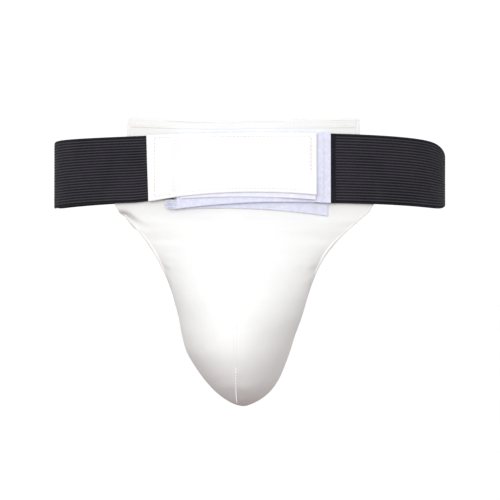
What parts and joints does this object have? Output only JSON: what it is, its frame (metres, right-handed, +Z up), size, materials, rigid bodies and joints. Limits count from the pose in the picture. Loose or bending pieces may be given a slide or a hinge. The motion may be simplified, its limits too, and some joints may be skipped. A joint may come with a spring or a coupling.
{
  "type": "groin protector",
  "caption": "Padded groin guard: white coated pouch over a vented hard cup, on an elastic waistband with a hook-and-loop front closure and leg straps.",
  "frame": {"origin": "centre of the waistband ring, halfway up the belt at its front", "axes": "+Z up, the wearer faces -Y, +X to the wearer's left (the viewer's right)"},
  "size_m": [0.3712, 0.2446, 0.26],
  "materials": {
    "elastic": "ribbed woven elastic, charcoal black, matt",
    "leg_elastic": "narrow ribbed woven elastic, charcoal black, matt",
    "coated_fabric": "white coated fabric, fine grain, soft satin",
    "binding_tape": "white folded tape, matt",
    "hook_tape": "pale blue white nylon hooks",
    "loop_tape": "pale blue white brushed loop pile",
    "thread": "white polyester thread",
    "foam": "closed cell foam, off white",
    "cup_plastic": "moulded polypropylene, natural white",
    "gasket_rubber": "soft moulded rubber, light grey",
    "lining_cloth": "knitted cotton lining, off white",
    "label_tape": "blank woven tape"
  },
  "bodies": {
    "root": {"waistband_elastic": "elastic", "left_leg_strap": "leg_elastic", "right_leg_strap": "leg_elastic", "front_cover": "coated_fabric", "top_hem": "coated_fabric", "dart_strip": "coated_fabric", "crotch_tail": "coated_fabric", "tail_patch": "coated_fabric", "left_strap_anchor": "coated_fabric", "right_strap_anchor": "coated_fabric", "edge_binding": "binding_tape", "right_strap_hook": "hook_tape", "right_strap_loop": "loop_tape", "apron_loop_patch": "loop_tape", "right_strap_stitch": "thread", "patch_stitch": "thread", "hem_stitch": "thread", "dart_stitch": "thread", "foam_pad": "foam", "cup_shell": "cup_plastic", "cup_rim_gasket": "gasket_rubber", "cup_lining": "lining_cloth", "apron_lining": "lining_cloth", "care_label": "label_tape"},
    "left_strap": {"left_strap_elastic": "elastic", "closure_tab_root": "coated_fabric", "root_box_stitch": "thread"},
    "tab": {"closure_tab_cover": "coated_fabric", "closure_tab_hook": "hook_tape", "tab_stitch": "thread"}
  },
  "joints": [
    {"name": "left_strap_swing", "type": "hinge", "parent": "root", "child": "left_strap", "pos_m": [-0.1856, 0, 0.0008], "axis": [0, 0, -1], "range_deg": [0, 75]},
    {"name": "tab_peel", "type": "hinge", "parent": "left_strap", "child": "tab", "pos_m": [-0.0584, -0.09914, 0.0016], "axis": [0, 0, -1], "range_deg": [0, 150]}
  ]
}
